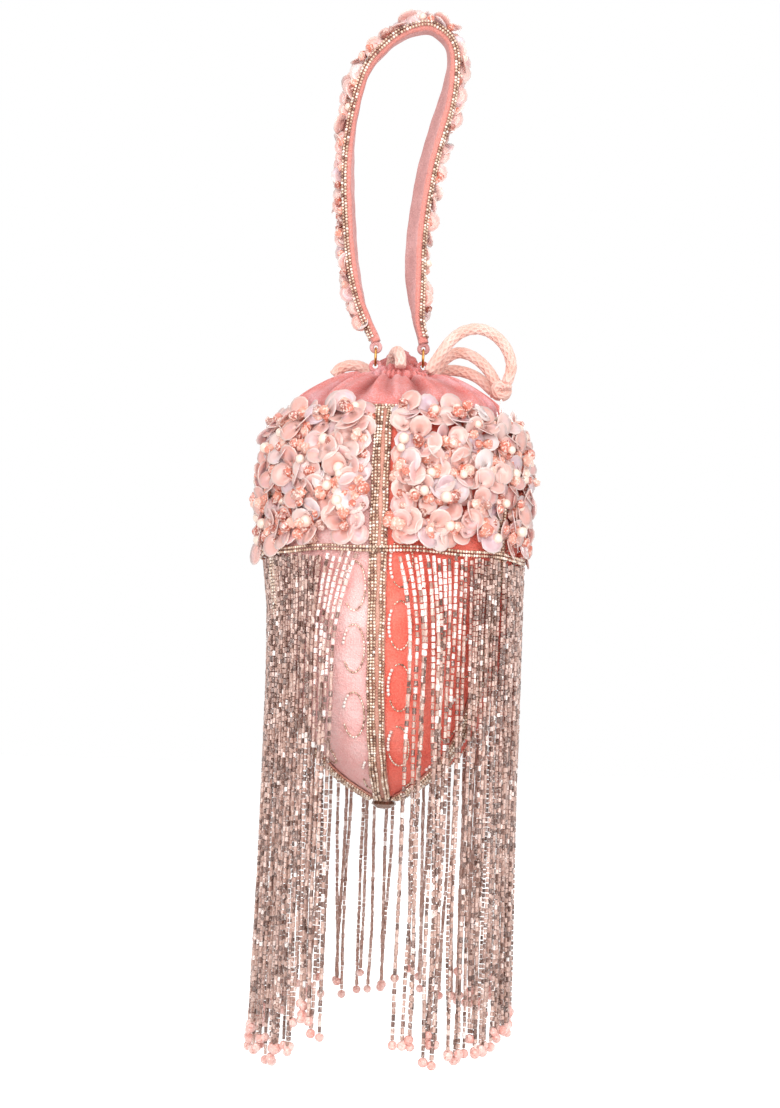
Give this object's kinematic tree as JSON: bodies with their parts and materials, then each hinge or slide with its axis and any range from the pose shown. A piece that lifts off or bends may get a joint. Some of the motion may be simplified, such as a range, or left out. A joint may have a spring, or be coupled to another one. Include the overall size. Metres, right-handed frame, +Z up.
{
  "type": "drawstring pouch handbag",
  "caption": "Gathered velvet evening pouch with a padded wrist handle, a band of petals and pearls, beaded seams and a long bead fringe.",
  "frame": {"origin": "inner top of the handle, where a wrist or a peg carries the bag", "axes": "+Z up along the hanging bag, -Y out of the front of the bag, +X to the right as seen from the front"},
  "size_m": [0.134, 0.1333, 0.4879],
  "materials": {
    "velvet": "cut velvet pile, coral rose",
    "lining": "satin",
    "petals": "pearly petals with pearls and crystals",
    "gold_beads": "silver-lined champagne seed beads",
    "fringe_beads": "silver-lined taupe rose cut beads",
    "gold": "polished gold plate",
    "rope": "braided cord, pale peach"
  },
  "bodies": {
    "handle": {"handle_strap": "velvet", "handle_trim_front": "gold_beads", "handle_trim_back": "gold_beads", "ring_left": "gold", "ring_right": "gold"},
    "pouch": {"band_panel_1": "petals", "body_gore_1": "velvet", "shoulder_gather_1": "velvet", "seam_trim_1": "gold_beads", "fringe_1": "fringe_beads", "band_panel_2": "petals", "body_gore_2": "velvet", "shoulder_gather_2": "velvet", "seam_trim_2": "gold_beads", "fringe_2": "fringe_beads", "band_panel_3": "petals", "body_gore_3": "velvet", "shoulder_gather_3": "velvet", "seam_trim_3": "gold_beads", "fringe_3": "fringe_beads", "band_panel_4": "petals", "body_gore_4": "velvet", "shoulder_gather_4": "velvet", "seam_trim_4": "gold_beads", "fringe_4": "fringe_beads", "band_panel_5": "petals", "body_gore_5": "velvet", "shoulder_gather_5": "velvet", "seam_trim_5": "gold_beads", "fringe_5": "fringe_beads", "band_panel_6": "petals", "body_gore_6": "velvet", "shoulder_gather_6": "velvet", "seam_trim_6": "gold_beads", "fringe_6": "fringe_beads", "band_top_trim": "gold_beads", "band_bottom_trim": "gold_beads", "tip_button": "gold_beads", "lining": "lining", "tab_left": "velvet", "tab_right": "velvet", "drawstring_neck": "rope", "drawstring_loop_high": "rope", "drawstring_loop_middle": "rope", "drawstring_loop_low": "rope", "drawstring_loop_left": "rope", "drawstring_arch": "rope", "drawstring_knot": "rope"}
  },
  "joints": [
    {"name": "handle_swing", "type": "hinge", "parent": "handle", "child": "pouch", "pos_m": [-0.0021, 0, -0.155], "axis": [1, 0, 0], "range_deg": [-90, 65]}
  ]
}
